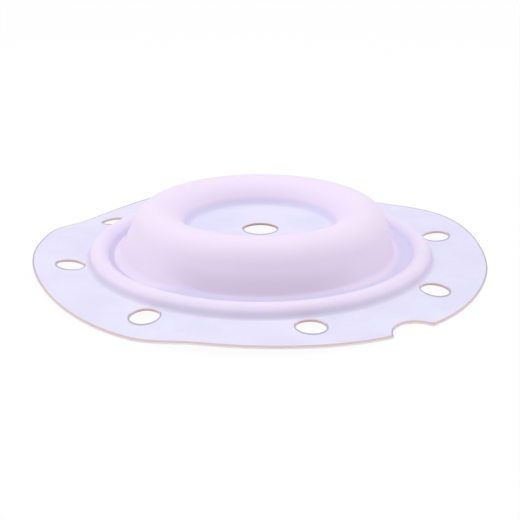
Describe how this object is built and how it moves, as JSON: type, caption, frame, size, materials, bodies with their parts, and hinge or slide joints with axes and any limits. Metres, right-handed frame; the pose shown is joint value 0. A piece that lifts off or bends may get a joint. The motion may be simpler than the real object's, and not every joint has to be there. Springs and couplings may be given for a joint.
{
  "type": "pump diaphragm",
  "caption": "Formed PTFE pump diaphragm: flat centre disc with a stud hole, tall rounded convolution, sealing bead and thin wavy bolted flange with a locating notch.",
  "frame": {"origin": "on the axis of the centre hole, at the height of the flange rim's lowest dips, on which the part lies", "axes": "+Z along the axis of the centre hole, towards the crest of the convolution; the first bolt hole lies 13.1 degrees from +X"},
  "size_m": [0.186, 0.186, 0.0241],
  "materials": {
    "sheet": "satin, waxy white PTFE"
  },
  "bodies": {
    "root": {"diaphragm": "sheet"}
  },
  "joints": []
}
